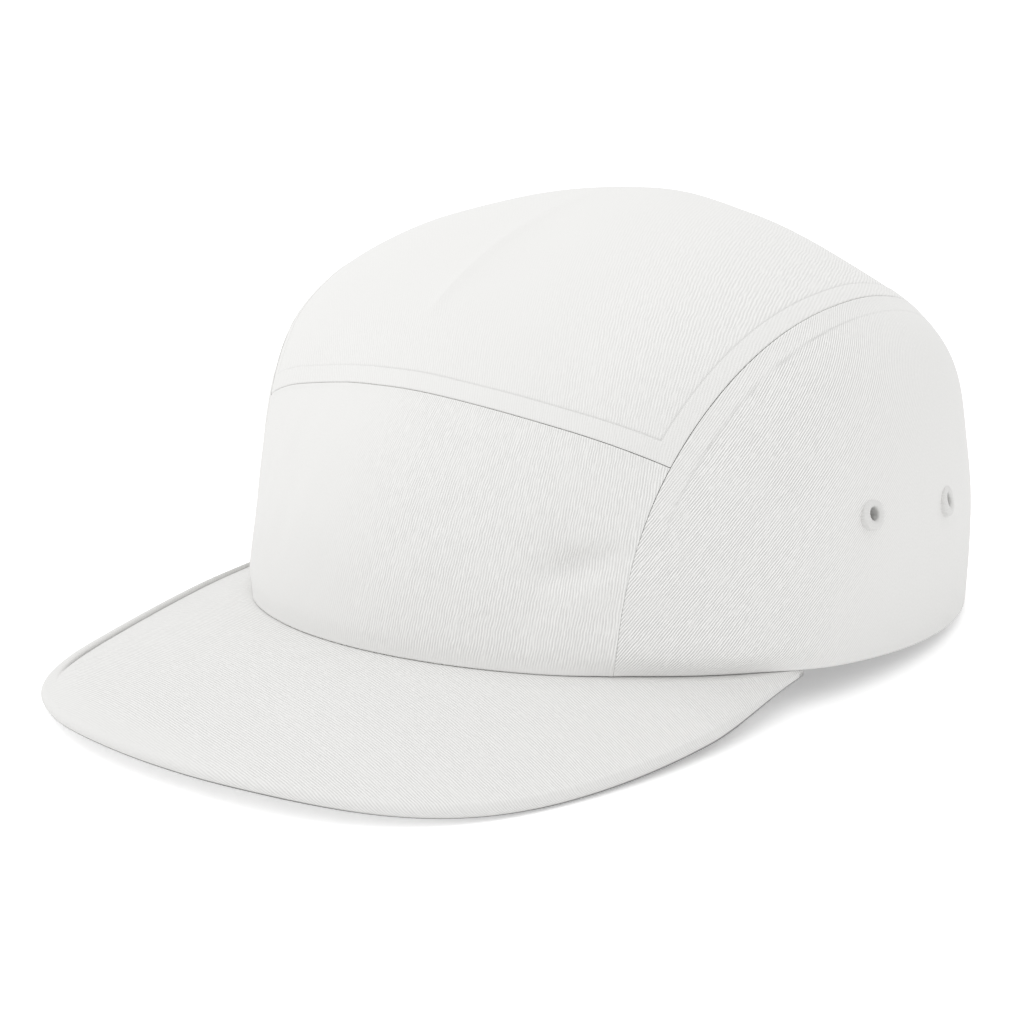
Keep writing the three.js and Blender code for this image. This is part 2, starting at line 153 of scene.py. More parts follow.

# Where the floor's painted light starts and is full, in metres: a glow that only the camera sees lifts its
# shadows
FILL_RANGES = {"Y": (-0.075, 0.03), "X": (0.085, 0.055)}

KEY_PLACE = (-0.6, -0.45, 1.8)
KEY_TARGET = (0, 0, 0.04)
SENSOR_WIDTH = 36

# Distances from the peak's edge line at which its grid has a row, in millimetres
PEAK_ROWS = (8, 6, 5, 4.2, 3.7, 3.4, 3.2, 3.05, 2.9, 2.75, 2.62, 2.5, 2.3, 2.0, 1.6, 1.2, 0.8, 0.4, 0)

# Fades on the unrolled crown: the place at which something starts and the place at which it is full
CROWN_FADES = {
    "waves_inward": (1.0, 0.9),
    "seam_shut_outward": (0.70, 0.86),
    "front_twill_across": (-0.14, 0.14),
    "front_panel_along": (-0.3, -0.5),
    "front_panel_across": (0.75, 0.6),
    "side_twill_forward": (0.14, -0.24),
    "back_twill_along": (0.4, 0.6),
    "hem_twill_inward": (1.0, 0.975),
    "top_twill_across": (0.05, 0.45),
    "top_twill_ahead": (-0.40, -0.52),
    "top_twill_behind": (0.2, 0.45),
    "crease_start": (-0.475, -0.44),
    "crease_end": (0.10, -0.35),
    "side_band_behind": (-0.15, 0.05),
    "top_band_across": (-0.02, -0.25),
    "top_band_along": (-0.2, -0.4),
}

# Fades of the rim's curl, in degrees of turn from the front
CURL_FADES = {"beside": (30, 48), "far_end": (62, 76), "near_end": (60, 76)}

# Fades along the peak from its far end at -1 over the tip at 0 to its near end at 1
PEAK_FADES = {
    "tail": (-0.995, -0.95),
    "board": (-0.68, -0.94),
    "lip": (-0.44, -0.64),
    "groove": (-0.5, -0.62),
    "calm": (0.2, -0.1),
    "painted_foot_shade": (0.55, 0.2),
}

# Shares of the full allowance on the back and side panels, how far before the front joint the side's starts,
# and what it loses at the side's rear and where the top is pressed flat
BACK_BAND = 0.25
SIDE_BAND = 0.8
SIDE_BAND_START = 0.1
SIDE_BAND_LOSS = 0.7
TOP_BAND_LOSS = 0.5

# Lengths of the cloth maps, in metres: the rim's radius, a panel up from the rim and the top's half length
RIM_RADIUS = 0.093
UPRIGHT_LENGTH = 0.157
TOP_LENGTH = 0.150

# Humps along the peak: the middle and the half width of each
PEAK_HUMPS = {"dip": (0.0, 0.17), "bulge": (-0.52, 0.09), "trim": (0.70, 0.16)}


def metres(name, description, default):
    return FloatProperty(name=name, description=description, default=default, unit="LENGTH")


def degrees(name, description, default):
    default = math.radians(default)
    return FloatProperty(name=name, description=description, default=default, unit="ROTATION")


def number(name, description, default):
    return FloatProperty(name=name, description=description, default=default)


def rgb(name, description, default):
    return FloatVectorProperty(name=name, description=description, subtype="COLOR", default=default)


class CrownSizes(bpy.types.PropertyGroup):
    """Sizes of the crown's cloth and seams"""

    head_length: metres("Head length", "Rim from front to back", 0.199)
    head_width: metres("Head width", "Rim from side to side", 0.172)
    crown_height: metres("Crown height", "Table to apex", 0.1038)
    apex_behind: metres("Apex behind middle", "How far back the apex lies", 0.0084)
    rim_rise: metres("Rim rise", "How far the rim rises in front", 0.016)
    rim_flat_turn: degrees("Flat rim turn", "Half turn of the flat rim", 28)
    wall: metres("Wall", "Thickness of the cloth", 0.0018)
    seam_opening: metres("Seam opening", "Gap between two panels", 0.00012)
    seam_shut: number("Seam shut", "Share of the gap and roll that closes towards the rim", 0.65)
    edge_roll: metres("Edge roll", "Radius of a turned cloth edge", 0.00045)
    edge_lip: metres("Edge lip", "How far upright panels stand over the top panel", 0.00022)
    lip_reach: metres("Lip reach", "How far in from the seam the edge lip reaches", 0.0011)
    band_width: metres("Allowance width", "Turned cloth beside a seam", 0.0048)
    band_rise: metres("Allowance rise", "How far turned cloth stands up", 0.00022)
    groove_offset: metres("Groove offset", "Edge of the turned cloth to the groove beside it", 0.0001)
    groove_reach: metres("Groove reach", "Half width of the groove beside turned cloth", 0.0002)
    crease_rise: metres("Crease rise", "Height of the pressed centre fold", 0.0011)
    crease_across: number("Crease place", "Share of the crown that the fold lies off centre", -0.045)
    crease_width: metres("Crease width", "Half width of the centre fold", 0.0028)
    hem_roll: metres("Hem roll", "Radius of the rim's turned edge", 0.0004)
    rim_curl: metres("Rim curl", "How far the rim turns in over the peak", 0.0022)
    curl_reach: metres("Curl reach", "How far up the rim's curl reaches", 0.0032)


class PeakSizes(bpy.types.PropertyGroup):
    """Sizes of the peak"""

    reach: metres("Reach", "Rim to tip in the middle", 0.0548)
    control_width: metres("Control width", "Width before its ends draw in", 0.1832)
    corner_turn: degrees("Corner turn", "Where the peak meets the rim", 71)
    thickness: metres("Thickness", "Board and cloth", 0.0034)
    end_thickness: metres("End thickness", "Thickness at both ends", 0.0014)
    tuck: metres("Tuck", "How far it runs under the rim", 0.005)
    end_tuck: metres("End tuck", "How far its ends slip in", 0.0018)
    tip_height: metres("Tip height", "Table to the tip's centre line", 0.0073)
    tip_dip: metres("Tip dip", "How far the arched tip hangs down in the middle", 0.0016)
    far_bulge: metres("Far bulge", "How far its right front corner swells out", 0.0015)
    near_trim: metres("Near trim", "How far its left side draws in", 0.0015)
    lip_width: metres("Lip width", "Edge line to the groove on the far side", 0.0026)
    lip_rise: metres("Lip rise", "How far the far edge's roll stands up", 0.0014)
    groove_depth: metres("Groove depth", "Groove along the far edge's roll", 0.0005)
    groove_reach: metres("Groove reach", "Half width of that groove", 0.0003)
    far_rise: metres("Far rise", "How far the board lifts at its far side", 0.0014)
    far_blend: metres("Far blend", "How far in from the edge it lifts", 0.02)
    seam_blend: metres("Seam blend", "How far out from the rim it starts to lift", 0.008)
    seam_clearance: metres("Seam clearance", "Gap under the rim", 0.0001)


class EyeletSizes(bpy.types.PropertyGroup):
    """Sizes of the sewn vent rings"""

    hole: metres("Hole", "Diameter of the hole", 0.0032)
    flange: metres("Ring", "Diameter of the ring", 0.0076)
    height: metres("Height", "How far it stands from the cloth", 0.0009)
    clearance: metres("Clearance", "Hole in the ring to the hole in the cloth", 0.0002)
    tilt: degrees("Tilt", "How far its front edge is lifted", 7)
    lift: degrees("Lift", "How far its lower edge is lifted", 13)
    ridge: metres("Ridge", "Height of a thread", 0.00004)
    stitches: IntProperty(name="Stitches", description="Threads round the ring", default=34)


class ClothLook(bpy.types.PropertyGroup):
    """Colours and weave of the cloth"""

    panel_colour: rgb("Panels", "Twill of the crown", (0.745, 0.742, 0.730))
    # The peak is the crown's white twill made darker: painted shade for the light it gets
    peak_shaded_colour: rgb("Peak", "Twill of the peak", (0.712, 0.709, 0.698))
    thread_colour: rgb("Thread", "Thread of the eyelets", (0.70, 0.697, 0.685))
    rib_depth: metres("Rib depth", "Depth of the twill", 0.00018)
    thread_depth: metres("Thread depth", "Depth of the thread's grain", 0.00003)


class StageLook(bpy.types.PropertyGroup):
    """The floor, the light and the camera"""

    floor_colour: rgb("Floor", "Pale floor", (0.95, 0.95, 0.95))
    floor_half: metres("Floor half", "Half the side of the floor", 4.0)
    floor_glow: number("Floor glow", "Light from below the pale floor, as on a light table", 0.08)
    shadow_fill: number("Shadow fill", "How far shadows on the floor are opened", 0.02)
    back_fill: number("Back fill", "Further opening behind the peak", 0.24)
    front_fill: number("Front fill", "Further opening in front of the peak", 0.40)
    sky_strength: number("Sky", "Strength of the even light", 0.98)
    key_power: FloatProperty(name="Key", description="Power of the key light", default=8.6, unit="POWER")
    key_size: metres("Key size", "Side of the square key light", 1.4)
    azimuth: degrees("Azimuth", "Camera round the cap", 39.74)
    elevation: degrees("Elevation", "Camera above the floor", 15.86)
    roll: degrees("Roll", "Turn of the picture", -1.14)
    distance: metres("Distance", "Camera to target", 0.598)
    aim_ahead: metres("Aim ahead", "Target ahead of the crown's middle", 0.035)
    aim_height: metres("Aim height", "Target above the floor", 0.05)
    aim_left: metres("Aim left", "How much further left the target lies, as seen", 0.002758)
    aim_down: metres("Aim down", "How much further down the target lies, as seen", 0.016598)
    lens: number("Lens", "Focal length in millimetres", 87.1)


def smooth_step(low, high, value):
    """0 below low, 1 above high and smooth between"""
    share = np.clip((value - low) / (high - low), 0, 1)
    return share * share * (3 - 2 * share)


def hump(middle, half, value):
    """1 in the middle, and smooth down to 0 within a few half widths"""
    return np.exp(-(((value - middle) / half) ** 2))


def rounding(distance, radius):
    """How far a rounded edge falls off at a distance from its end"""
    left = radius - np.minimum(distance, radius)
    return radius - np.sqrt(np.maximum(0, radius**2 - left**2))


def fade(name, value):
    """One of the crown's fades"""
    return smooth_step(*CROWN_FADES[name], value)


def signed_power(value, power):
    return np.sign(value) * np.abs(value) ** power


def turn_of(place):
    return np.arctan2(place[..., 0], -place[..., 1])


def on_rim(turn):
    return np.stack([np.sin(turn), -np.cos(turn)], -1)


def around(key, turn):
    """An even function of the turn that passes through the rows of the section table"""
    last = len(SECTIONS) - 1
    half = [0.5 if index in (0, last) else 1 for index in range(last + 1)]
    value = 0
    for wave in range(last + 1):
        share = sum(
            half[i] * row[key] * math.cos(wave * math.radians(row["turn"])) for i, row in enumerate(SECTIONS)
        )
        value = value + half[wave] * 2 / last * share * np.cos(wave * turn)
    return value


class Crown:
    """The crown's smooth outer surface, addressed by places on the unrolled crown"""

    TURNS = 360
    LIFTS = 160
    LIFT_POWER = 3
    RIM_POWER = 1.5
    NORMAL_STEP = 0.003

    def __init__(self, scene):
        sizes = self.sizes = scene.cap_crown
        self.middle = (scene.cap_peak.reach + scene.cap_peak.thickness / 2) / 2
        self.turns = np.linspace(-math.pi, math.pi, self.TURNS + 1)
        self.lifts = np.linspace(0, 1, self.LIFTS + 1)
        grid = self.section_point(self.turns[:, None], self.lifts[None, :])
        steps = np.linalg.norm(np.diff(grid, axis=1), axis=2)
        runs = np.concatenate([np.zeros((len(self.turns), 1)), steps.cumsum(axis=1)], axis=1)
        self.lengths = runs[:, -1]
        self.lift_table = np.array([np.interp(self.lifts * run[-1], run, self.lifts) for run in runs])

    def rim_height(self, turn):
        flat = (1 - math.cos(self.sizes.rim_flat_turn)) / 2
        forward = (1 + np.cos(turn)) / 2
        return self.sizes.rim_rise * np.maximum(0, (forward - flat) / (1 - flat)) ** self.RIM_POWER

    def rim(self, turn):
        x = self.sizes.head_width / 2 * np.sin(turn)
        y = self.middle - self.sizes.head_length / 2 * np.cos(turn)
        return np.stack([x, y, self.rim_height(turn)], -1)

    def section_point(self, turn, lift):
        turn, lift = np.broadcast_arrays(turn, lift)
        angle = math.pi / 2 * lift**self.LIFT_POWER
        foot = self.rim(turn)
        up = np.sin(angle) ** (2 / around("square", turn))
        out = np.cos(angle) * (1 + around("swell", turn) * np.sin(math.pi * up))
        apex = self.middle + self.sizes.apex_behind
        y = apex + (foot[..., 1] - apex) * out
        z = foot[..., 2] + (self.sizes.crown_height - foot[..., 2]) * up
        return np.stack([foot[..., 0] * out, y, z], -1)

    def lift_at(self, turn, share):
        row = np.clip((turn + math.pi) / (2 * math.pi) * self.TURNS, 0, self.TURNS - TINY)
        column = np.clip(share * self.LIFTS, 0, self.LIFTS - TINY)
        i, j = row.astype(int), column.astype(int)
        a, b = row - i, column - j
        table = self.lift_table
        low = table[i, j] * (1 - b) + table[i, j + 1] * b
        high = table[i + 1, j] * (1 - b) + table[i + 1, j + 1] * b
        return low * (1 - a) + high * a

    def at(self, place):
        reach = np.minimum(1, np.linalg.norm(place, axis=-1))
        turn = turn_of(place)
        return self.section_point(turn, self.lift_at(turn, 1 - reach))

    def normal(self, place):
        step = self.NORMAL_STEP
        reach = np.linalg.norm(place, axis=-1, keepdims=True)
        middle = np.where(reach > 1 - step, place * (1 - 2 * step) / np.maximum(reach, 0.5), place)
        across = self.at(middle + [step, 0]) - self.at(middle - [step, 0])
        along = self.at(middle + [0, step]) - self.at(middle - [0, step])
        out = np.cross(across, along)
        return out / np.linalg.norm(out, axis=-1, keepdims=True)

    def rise(self, place):
        """How far the folds, wrinkles and waves lift the cloth"""
        x, y = place[..., 0], place[..., 1]
        lift = np.zeros(x.shape)
        for fold in FOLDS:
            across = (x - fold["across"]) / fold["reach_across"]
            along = (y - fold["along"]) / fold["reach_along"]
            lift += fold["rise"] * self.sizes.wall * np.exp(-(across**2) - along**2)
        for wrinkle in WRINKLES:
            slant = math.radians(wrinkle["slant"])
            dx, dy = x - wrinkle["across"], y - wrinkle["along"]
            run = (dx * math.cos(slant) + dy * math.sin(slant)) / wrinkle["length"]
            off = (dy * math.cos(slant) - dx * math.sin(slant)) / wrinkle["width"]
            lift += wrinkle["rise"] * self.sizes.wall * np.exp(-(run**2) - off**2)
        inside = fade("waves_inward", np.hypot(x, y))
        for wave in WAVES:
            turn = math.radians(wave["turn"])
            run = x * math.cos(turn) + y * math.sin(turn)
            lift += inside * wave["height"] * MM * np.sin(2 * math.pi * wave["count"] * run + wave["phase"])
        return lift


def arch(side, along):
    """The arched seam on one side, at places along the crown"""
    seam = ARCHED_SEAM
    off = along - seam["middle"]
    across = seam["top_half"] + seam["spread"] * off**2 + seam["lean"] * off**3 + seam["flare"] * off**4
    return np.stack([side * across, along + 0 * across], -1)


def cross_seam(end, across):
    """The cross seam in front (-1) or behind (+1)"""
    seam = CROSSED_SEAM
    return np.stack([across, end * (seam["reach"] - seam["bow"] * across**2 - seam["curl"] * across**4)], -1)


def root_of(measure, low, high):
    """Where a function changes sign between two values"""
    for _ in range(HALVINGS):
        middle = (low + high) / 2
        if measure(low) * measure(middle) <= 0:
            high = middle
        else:
            low = middle
    return (low + high) / 2


def arch_ends(end):
    """Where the arched seam meets the rim and the cross seam"""

    def past_rim(along):
        return np.linalg.norm(arch(1, along)) - 1

    def past_seam(along):
        return along - cross_seam(end, arch(1, along)[0])[1]

    return (
        root_of(past_rim, *[end * limit for limit in FOOT_LIMITS]),
        root_of(past_seam, *[end * limit for limit in JOINT_LIMITS]),
    )


FRONT_FOOT, FRONT_JOINT = arch_ends(-1)
BACK_FOOT, BACK_JOINT = arch_ends(1)


def stretch(start, stop, curve, *which):
    """A side of a panel: part of a curve as a function of a share"""
    return lambda share: curve(*which, start + (stop - start) * share)


def spaced(cells, length):
    """Shares from 0 to 1 with extra rows near both ends, for a side of a given length"""
    low = [row * MM / length for row in EDGE_ROWS]
    high = [1 - row * MM / length for row in EDGE_ROWS][::-1]
    middle = np.linspace(low[-1], high[0], cells + 1)[1:-1]
    return np.concatenate([low, middle, high])


def patch(bottom, top, left, right, across, up):
    """A four-sided panel's places from its four sides, each a function of a share"""
    across, up = np.broadcast_arrays(across, up)
    u, v = across[..., None], up[..., None]
    low = (1 - u) * bottom(0.0) + u * bottom(1.0)
    high = (1 - u) * top(0.0) + u * top(1.0)
    corners = (1 - v) * low + v * high
    return (1 - v) * bottom(across) + v * top(across) + (1 - u) * left(up) + u * right(up) - corners


def runs_of(crown, sides, across, up, axis):
    """Distances on the crown along the grid lines of a panel in one direction"""
    steps = np.linalg.norm(np.diff(crown.at(patch(*sides, across, up)), axis=axis), axis=-1)
    return np.insert(steps.cumsum(axis=axis), 0, 0, axis=axis)


def fitted_shares(crown, sides, cells_across, cells_up):
    """Shares across and up a panel whose edge rows keep their distances on the cloth"""
    fine = np.linspace(0, 1, FINE_SHARES)
    half = np.full((1, 1), 0.5)

    def fit(run, cells):
        return np.interp(spaced(cells, run[-1]) * run[-1], run, fine)

    across = fit(runs_of(crown, sides, fine[:, None], half, 0)[:, 0], cells_across)
    up = fit(runs_of(crown, sides, half, fine[None], 1)[0], cells_up)
    across_runs = runs_of(crown, sides, fine[:, None], up[None], 0)
    up_runs = runs_of(crown, sides, across[:, None], fine[None], 1)
    return (
        np.stack([fit(run, cells_across) for run in across_runs.T], axis=1),
        np.stack([fit(run, cells_up) for run in up_runs]),
    )


def distance_to(curves, points):
    """Distance from each point to the nearest of some finely sampled curves"""
    samples = np.concatenate(curves)
    tree = kdtree.KDTree(len(samples))
    for index, point in enumerate(samples):
        tree.insert(point, index)
    tree.balance()
    flat = points.reshape(-1, 3)
    found = np.array([tree.find(point)[2] for point in flat])
    return found.reshape(points.shape[:-1])


def edge_pull(normals, run, amount):
    """Moves from a sewn edge into the panel, for points along that edge"""
    away = np.cross(normals, run)
    return away / np.linalg.norm(away, axis=-1, keepdims=True) * amount


def mesh_object(name, vertices, faces, uv, material, masks=None):
    """A smooth-shaded mesh object with a cloth map and masks on its points, riding on the body"""
    mesh = bpy.data.meshes.new(name)
    mesh.from_pydata([tuple(v) for v in vertices], [], [tuple(f) for f in faces])
    mesh.validate()
    layer = mesh.uv_layers.new(name="Cloth")
    corners = np.empty(len(mesh.loops), dtype=np.int64)
    mesh.loops.foreach_get("vertex_index", corners)
    layer.uv.foreach_set("vector", np.asarray(uv, dtype=np.float32)[corners].ravel())
    mesh.polygons.foreach_set("use_smooth", np.ones(len(mesh.polygons), dtype=bool))
    mesh.materials.append(material)
    for label, mask in (masks or {}).items():
        mesh.attributes.new(label, "FLOAT", "POINT").data.foreach_set("value", mask.astype(np.float32))
    piece = bpy.data.objects.new(name, mesh)
    bpy.context.scene.collection.objects.link(piece)
    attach(piece, BODY)
    return piece


def grid_faces(columns, rows, start=0, flip=False):
    """Quads of a grid of (columns + 1) by (rows + 1) points"""
    i, j = np.meshgrid(np.arange(columns), np.arange(rows), indexing="ij")
    a = start + i * (rows + 1) + j
    quads = np.stack([a, a + rows + 1, a + rows + 2, a + 1], -1).reshape(-1, 4)
    return quads[:, ::-1] if flip else quads


def sheet_faces(columns, rows):
    """Quads of a closed sheet: the outer grid, the inner grid and the four edges between"""
    count = (columns + 1) * (rows + 1)
    i, j = np.arange(columns), np.arange(rows)
    edges = (
        (i * (rows + 1), (i + 1) * (rows + 1)),
        ((i + 1) * (rows + 1) + rows, i * (rows + 1) + rows),
        (j + 1, j),
        (columns * (rows + 1) + j, columns * (rows + 1) + j + 1),
    )
    faces = [grid_faces(columns, rows), grid_faces(columns, rows, count, True)]
    faces += [np.stack([low, low + count, high + count, high], -1) for low, high in edges]
    return np.concatenate(faces)


class Panel:
    """One cloth panel of the crown, before it becomes a mesh"""

    SEAM_SAMPLES = 1600
    SAME_PULL = 0.8
    INNER_OPENING = 0.1
    GROOVE_SHARE = 0.5
    BAND_CALM = 0.45
    FRONT_CURL = 0.25  # share of the rim's curl in front, where the peak is sewn on
    FAINT_TWILL = 0.05
    HIDDEN_TWILL = 0.6
    SIDE_SLANT = 0.6
    SIDE_MIDDLE = 0.6

    def __init__(self, crown, sides, cells, sewn, sign=1):
        self.crown = crown
        self.sewn = sewn
        self.sign = sign
        self.places = patch(*sides, *fitted_shares(crown, sides, *cells))
        self.normals = crown.normal(self.places)
        self.outer = crown.at(self.places)
        fine = np.linspace(0, 1, self.SEAM_SAMPLES)
        seams = [crown.at(side(fine)) for side, is_sewn in zip(sides, sewn) if is_sewn]
        self.to_seam = distance_to(seams, self.outer)

    def pulls(self):
        """Unit moves away from each sewn edge, once for both edges where two meet flat"""
        moves = np.zeros(self.outer.shape)
        edges = ((np.s_[:, 0], 1), (np.s_[:, -1], -1), (np.s_[0, :], -1), (np.s_[-1, :], 1))
        for (edge, direction), is_sewn in zip(edges, self.sewn):
            if not is_sewn:
                continue
            run = np.gradient(self.outer[edge], axis=0)
            pull = edge_pull(self.normals[edge], run, direction * self.sign)
            already = moves[edge]
            fresh = np.linalg.norm(already, axis=-1) < 0.5
            square = (already * pull).sum(-1) < self.SAME_PULL
            moves[edge] = np.where((fresh | square)[:, None], already + pull, already)
        return moves

    def build(self, name, material, cloth_map, band, lip=0.0):
        """The panel's mesh: band and lip are the shares of the full allowance and edge lip that it carries"""
        sizes = self.crown.sizes
        moves = self.pulls() * sizes.seam_opening
        turn = turn_of(self.places)
        reach = np.linalg.norm(self.places, axis=-1)
        opening = 1 - sizes.seam_shut * fade("seam_shut_outward", reach)
        rolled = opening * rounding(self.to_seam, sizes.edge_roll)
        from_band = self.to_seam - sizes.band_width
        step = smooth_step(sizes.groove_offset, -sizes.groove_reach, from_band)
        groove = hump(sizes.groove_offset, sizes.groove_reach, from_band)
        stands = band * sizes.band_rise * (step - self.GROOVE_SHARE * groove)
        stands = stands + lip * sizes.edge_lip * hump(0, sizes.lip_reach, self.to_seam)
        rise = self.crown.rise(self.places)
        relief = rise + stands - rolled + self.extra(self.places)
        outer = self.outer + moves * (opening / 2)[..., None] + self.normals * relief[..., None]
        inner = self.outer + moves * self.INNER_OPENING + self.normals * (rise - sizes.wall)[..., None]
        if not self.sewn[0]:
            outer, inner = self.turn_rim(outer, inner, turn)
        vertices = np.concatenate([outer.reshape(-1, 3), inner.reshape(-1, 3)])
        faces = sheet_faces(turn.shape[0] - 1, turn.shape[1] - 1)[:, :: self.sign]
        uv = np.tile(cloth_map(self.places, turn).reshape(-1, 2), (2, 1))
        calm = 1 - (1 - self.BAND_CALM * band * step) * self.weave_strength(self.places)
        # Painted shade: the groove beside the turned allowance is darkened in colour
        masks = {"Calm": np.tile(calm.ravel(), 2), "Painted_shade": np.tile((band * groove).ravel(), 2)}
        return mesh_object(name, vertices, faces, uv, material, masks)

    def extra(self, places):
        """How far the panel's own folds rise"""
        return np.zeros(places.shape[:-1])

    def twill(self, shares):
        """The strength of the twill, which is faint where its share is 0"""
        return self.FAINT_TWILL + (1 - self.FAINT_TWILL) * shares

    def weave_strength(self, places):
        """How clearly the twill shows: pressed smooth towards the wearer's right in front, and at the rear"""
        across, along = np.abs(places[..., 0]), places[..., 1]
        slanting = along + self.SIDE_SLANT * (across - self.SIDE_MIDDLE)
        side = fade("side_twill_forward", slanting) + self.HIDDEN_TWILL * fade("back_twill_along", along)
        front = fade("front_twill_across", places[..., 0])
        in_front = fade("front_panel_along", along) * fade("front_panel_across", across)
        hem = fade("hem_twill_inward", np.linalg.norm(places, axis=-1))
        return self.twill(hem * (front * in_front + side * (1 - in_front)))

    def turn_rim(self, outer, inner, turn):
        """Rounds the turned hem and sets it level with the rim, curled in where it sits on the peak"""
        sizes = self.crown.sizes
        height = self.crown.rim_height(turn[:, :1])
        level = self.normals * [1, 1, 0]
        level /= np.linalg.norm(level, axis=-1, keepdims=True)
        turned = np.degrees(np.abs(turn[:, :1]))
        shares = {name: smooth_step(*ends, turned) for name, ends in CURL_FADES.items()}
        beside = (1 - self.FRONT_CURL) * shares["beside"] * (1 - shares["far_end"])
        on_peak = self.FRONT_CURL * (1 - shares["near_end"]) + beside
        above = np.maximum(0, outer[..., 2] - height)
        inner_above = np.maximum(0, inner[..., 2] - height)
        curl = sizes.rim_curl * on_peak * hump(0, sizes.curl_reach, above)
        outer = outer - level * (rounding(above, sizes.hem_roll) + curl)[..., None]
        inner = inner + level * (rounding(inner_above, sizes.hem_roll) - curl)[..., None]
        outer[:, 0, 2] = inner[:, 0, 2] = height[:, 0]
        return outer, inner


class TopPanel(Panel):
    """The top panel, with its pressed centre fold"""

    AHEAD_TWILL = 0.45

    def extra(self, places):
        sizes = self.crown.sizes
        across, along = places[..., 0], places[..., 1]
        off = self.crown.lengths.mean() * np.abs(across - sizes.crease_across) / sizes.crease_width
        return sizes.crease_rise * fade("crease_start", along) * fade("crease_end", along) * np.exp(-off)

    def weave_strength(self, places):
        across, along = places[..., 0], places[..., 1]
        ahead = self.AHEAD_TWILL * fade("top_twill_ahead", along)
        behind = self.HIDDEN_TWILL * fade("top_twill_behind", along)
        return self.twill(np.maximum.reduce([fade("top_twill_across", across), ahead, behind]))


def around_map(places, turn):
    """Cloth map of an upright panel: round the rim and up from it, in metres"""
    reach = np.linalg.norm(places, axis=-1)
    return np.stack([turn * RIM_RADIUS, (1 - reach) * UPRIGHT_LENGTH], -1)


def flat_map(places, turn):
    """Cloth map of the top panel: the unrolled crown in metres"""
    return places * TOP_LENGTH


def build_end_panel(crown, end, name, material):
    """The front (-1) or back (+1) panel"""
    foot, joint = (FRONT_FOOT, FRONT_JOINT) if end < 0 else (BACK_FOOT, BACK_JOINT)
    reach = turn_of(arch(1, foot))
    start = -reach if end < 0 else 2 * math.pi - reach
    half = arch(1, joint)[0]
    sides = (
        stretch(start, reach, on_rim),
        stretch(-half, half, cross_seam, end),
        stretch(foot, joint, arch, -1),
        stretch(foot, joint, arch, 1),
    )
    panel = Panel(crown, sides, CELLS["end"], (False, True, True, True), sign=-end)
    if end > 0:
        return panel.build(name, material, lambda p, t: around_map(p, np.mod(t, 2 * math.pi)), BACK_BAND, 1.0)
    return panel.build(name, material, around_map, 0.0, 1.0)


def build_side_panel(crown, side, name, material):
    """A side panel: +1 is the wearer's left"""
    sides = (
        stretch(side * turn_of(arch(1, FRONT_FOOT)), side * turn_of(arch(1, BACK_FOOT)), on_rim),
        stretch(FRONT_JOINT, BACK_JOINT, arch, side),
        stretch(FRONT_FOOT, FRONT_JOINT, arch, side),
        stretch(BACK_FOOT, BACK_JOINT, arch, side),
    )
    panel = Panel(crown, sides, CELLS["side"], (False, True, True, True), sign=side)
    along = panel.places[..., 1]
    band = SIDE_BAND * smooth_step(FRONT_JOINT - SIDE_BAND_START, FRONT_JOINT, along)
    band = band * (1 - SIDE_BAND_LOSS * fade("side_band_behind", along))
    return panel.build(name, material, around_map, band, 1.0)


def build_top_panel(crown, material):
    """The long panel over the crown"""
    front, back = arch(1, FRONT_JOINT)[0], arch(1, BACK_JOINT)[0]
    sides = (
        stretch(-front, front, cross_seam, -1),
        stretch(-back, back, cross_seam, 1),
        stretch(FRONT_JOINT, BACK_JOINT, arch, -1),
        stretch(FRONT_JOINT, BACK_JOINT, arch, 1),
    )
    panel = TopPanel(crown, sides, CELLS["top"], (True, True, True, True))
    pressed = fade("top_band_across", panel.places[..., 0]) * fade("top_band_along", panel.places[..., 1])
    return panel.build("Top_panel", material, flat_map, 1 - TOP_BAND_LOSS * pressed)


class Peak:
    """The peak's shape, with its middle surface between the rim and the rolled edge"""

    SQUARE_ACROSS = 2.73
    SQUARE_ALONG = 2.22
    CORNER = 5.05
    END_START = 0.86
    END_SHARE = 0.995
    EDGE_POWER = 1.3

    OUTLINE_SAMPLES = 400
    ROWS = 260
    CELLS = 30
    ROUNDS = 14

    # Painted shade: the dark line in the groove beside the roll along the far edge
    PAINTED_SHADE_PLACE = 0.33 * MM
    PAINTED_SHADE_REACH = 0.22 * MM

    # Painted shade at the foot of the rounded edge, on its downward side: degrees round the edge, and how
    # much higher it lies ahead and far off
    PAINTED_FOOT_DEGREES = (-40, -58)
    PAINTED_FOOT_SHIFT = 16

    # How calm the twill is on the far half: beside the edge, at which distances, and the least on the edge
    CALM = 0.75
    CALM_REACH = (0.010, 0.002)
    EDGE_CALM = 0.3

    def __init__(self, crown, sizes):
        self.crown = crown
        self.sizes = sizes
        self.half = sizes.thickness / 2
        self.tip = crown.sizes.head_length / 2 + sizes.reach
        self.corner = crown.rim(sizes.corner_turn) - [0, crown.middle, 0]
        self.slope = root_of(self.lowest, 0, 1)

    def outline(self, share):
        turn = math.pi / 2 * signed_power(share, self.EDGE_POWER)
        half = self.sizes.control_width / 2
        narrow = (1 - self.corner[0] / half) * np.abs(np.sin(turn)) ** self.CORNER
        x = half * signed_power(np.sin(turn), 2 / self.SQUARE_ACROSS) * (1 - narrow)
        forward = np.abs(np.cos(turn)) ** (2 / self.SQUARE_ALONG)
        return np.stack([x, self.corner[1] - (self.tip + self.corner[1]) * forward], -1)

    def edge_height(self, outline, slope):
        corner_height = self.corner[2] - self.half - self.sizes.seam_clearance
        tip_height = self.sizes.tip_height
        arched = tip_height + slope * (self.tip + self.corner[1]) - corner_height
        across = (outline[..., 0] / self.corner[0]) ** 2
        return tip_height + slope * (self.tip + outline[..., 1]) - arched * across

    def lowest(self, slope):
        outline = self.outline(np.linspace(-1, 1, self.OUTLINE_SAMPLES))
        return self.edge_height(outline, slope).min() - self.half


